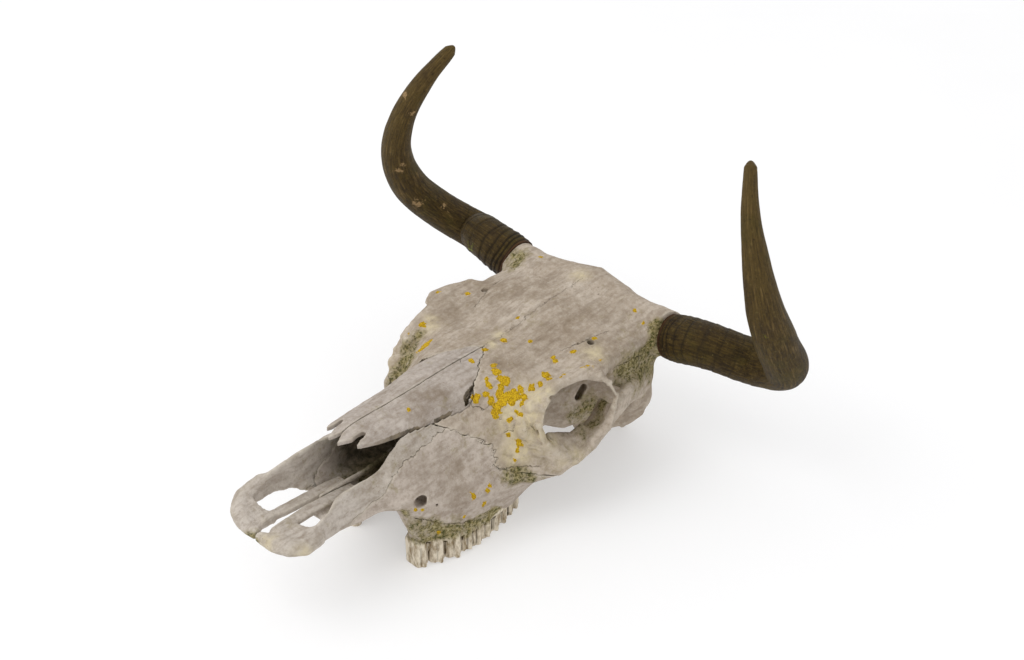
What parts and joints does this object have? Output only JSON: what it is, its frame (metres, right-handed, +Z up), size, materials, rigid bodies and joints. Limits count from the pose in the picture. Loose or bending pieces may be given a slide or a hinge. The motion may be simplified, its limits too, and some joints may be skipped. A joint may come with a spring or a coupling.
{
  "type": "cow skull with horns",
  "caption": "Weathered cow skull without its lower jaw, with horn sheaths that sweep out and up, lying level on its cheek teeth as a museum shows it.",
  "frame": {"origin": "on the floor under the middle of the whole model's box", "axes": "+Z up from the floor, nose towards -Y, the skull's left side towards +X"},
  "size_m": [0.5132, 0.5082, 0.3643],
  "materials": {
    "cranial_bone": "dry weathered bone, matt, warm grey with darker stains, cream patches and yellow and green growth",
    "facial_bone": "dry weathered bone, matt, pale grey, green at the gum line, with pale worn teeth",
    "nasal_bone": "dry weathered bone, matt, pinkish grey with a darker grain along it",
    "incisive_bone": "dry weathered bone, matt, grey brown with olive stains",
    "horn": "weathered horn, dark olive brown, ringed near the base, with tan scars and green growth"
  },
  "bodies": {
    "root": {"cranium": "cranial_bone", "maxilla_left": "facial_bone", "maxilla_right": "facial_bone", "incisive_left": "incisive_bone", "incisive_right": "incisive_bone", "nasal_left": "nasal_bone", "nasal_right": "nasal_bone", "vomer": "incisive_bone", "horn_left": "horn", "horn_right": "horn"}
  },
  "joints": []
}
